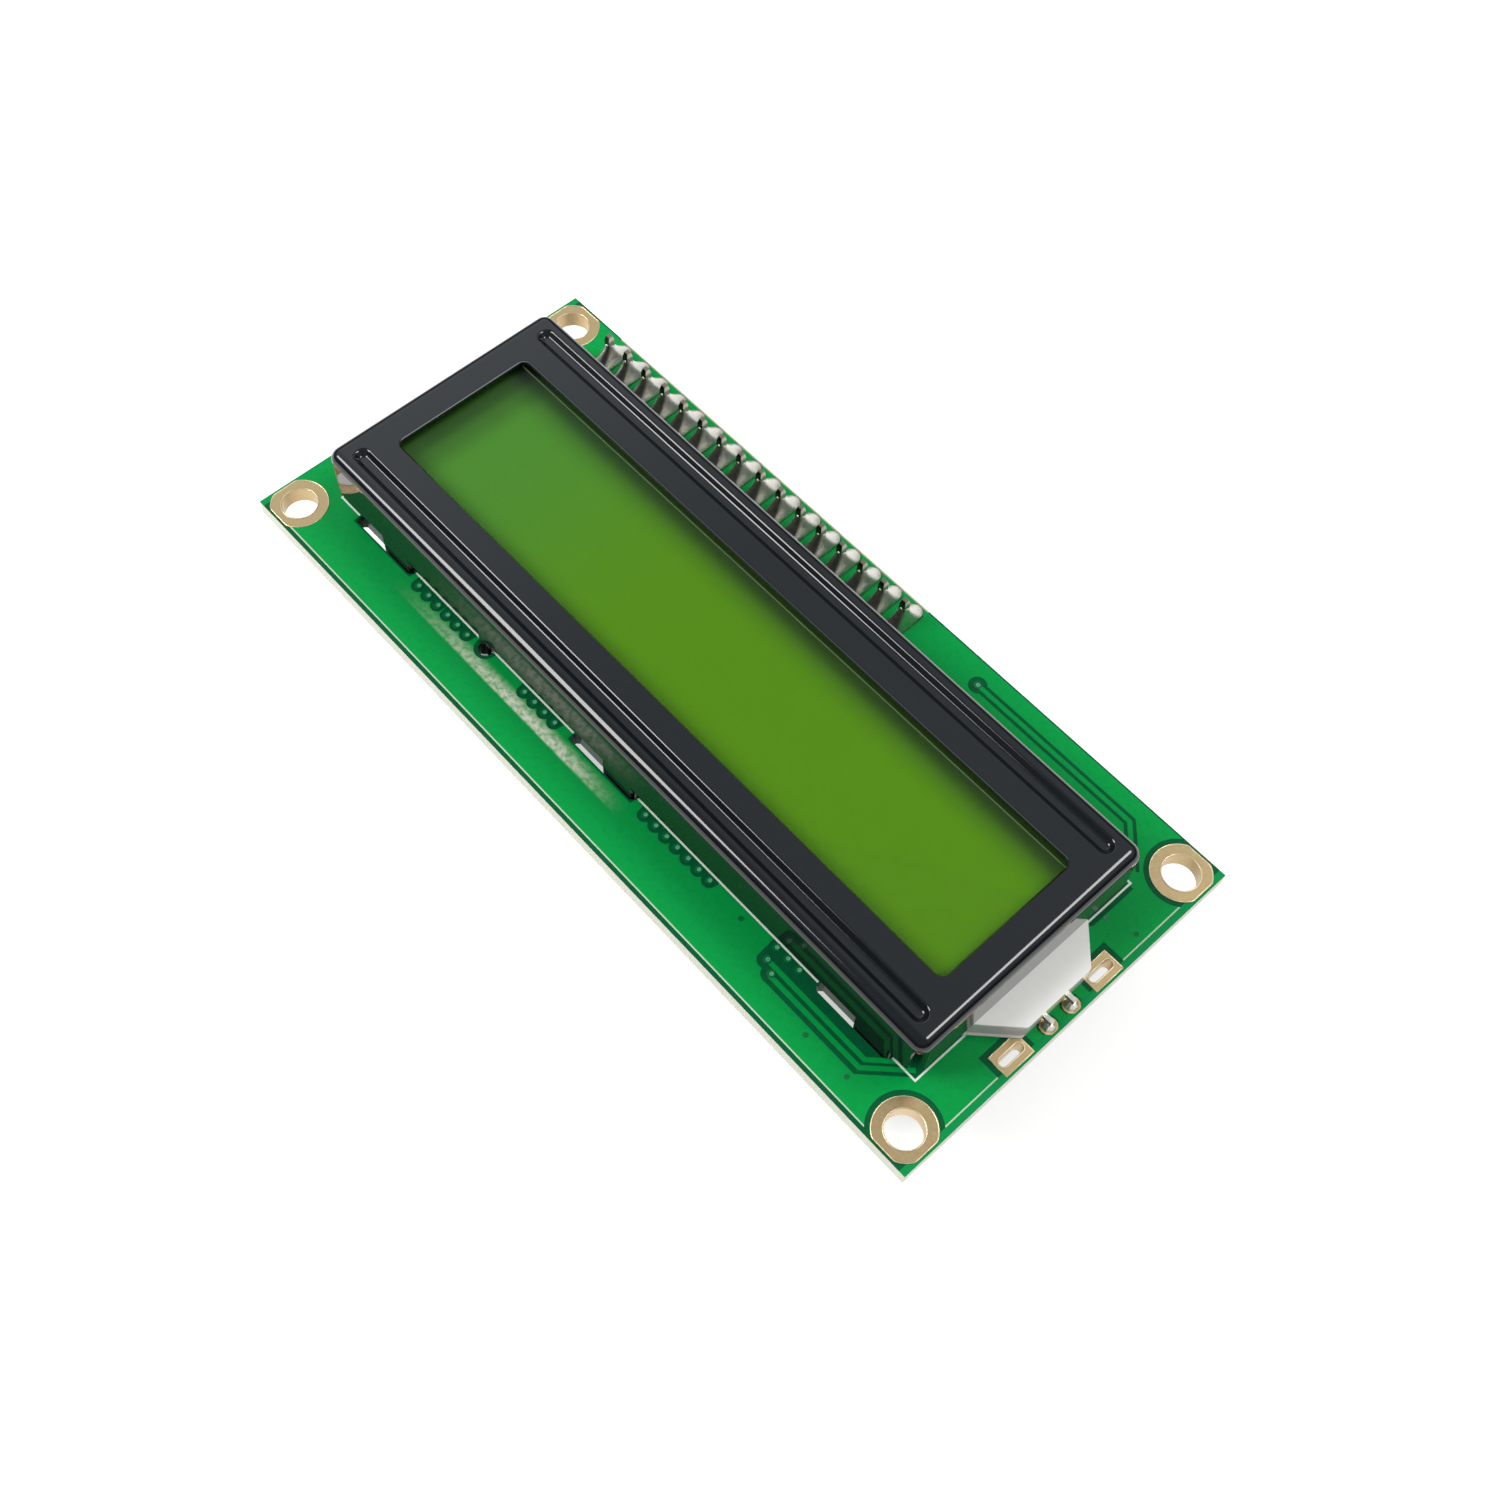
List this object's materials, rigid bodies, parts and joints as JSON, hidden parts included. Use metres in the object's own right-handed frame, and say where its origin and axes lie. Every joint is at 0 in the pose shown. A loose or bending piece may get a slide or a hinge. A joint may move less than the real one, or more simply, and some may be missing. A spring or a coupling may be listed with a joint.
{
  "type": "character lcd module",
  "caption": "Board-mounted dot matrix character display with a pressed black bezel over a green cell, side-lit backlight, row of header pins and corner mounting holes",
  "frame": {"origin": "centre of the mounting hole pattern, on the front face of the board", "axes": "+X along the board toward the lamp end, +Y toward the pin row, +Z out of the display"},
  "size_m": [0.08, 0.036, 0.0172],
  "materials": {
    "solder_mask": "green solder mask over copper",
    "plated_gold": "thin gold plate",
    "black_enamel": "gloss black enamel on pressed steel",
    "polarizer_film": "satin polarizing film",
    "cell_glass": "float glass",
    "seal_glue": "cured glue",
    "cell_filling": "yellow-green filling",
    "rear_film": "half mirror film",
    "white_film": "matte white film",
    "clear_acrylic": "clear moulded acrylic",
    "white_plastic": "white moulded plastic",
    "contact_rubber": "pink silicone with a dark core",
    "lamp_resin": "clear resin",
    "tinned_wire": "tinned",
    "solder": "bright solder",
    "pin_metal": "tinned brass",
    "black_plastic": "satin black plastic",
    "black_resin": "black resin",
    "resistor_glaze": "black glaze on ceramic",
    "capacitor_ceramic": "tan ceramic"
  },
  "bodies": {
    "root": {"circuit_board": "solder_mask", "mounting_pads": "plated_gold", "edge_pads": "plated_gold", "lamp_lands": "plated_gold", "bezel": "black_enamel", "front_polarizer": "polarizer_film", "front_glass": "cell_glass", "rear_glass": "cell_glass", "cell_seal": "seal_glue", "liquid_crystal": "cell_filling", "rear_polarizer": "rear_film", "diffuser": "white_film", "tongue_film": "white_film", "base_film": "white_film", "light_guide": "clear_acrylic", "backlight_frame": "white_plastic", "contact_strips": "contact_rubber", "lamp": "lamp_resin", "lamp_leads": "tinned_wire", "lamp_joints": "solder", "pin_joints": "solder", "header_pins": "pin_metal", "header_strip": "black_plastic", "chip_blobs": "black_resin", "chip_resistors": "resistor_glaze", "chip_capacitors": "capacitor_ceramic", "chip_ends": "solder"}
  },
  "joints": []
}
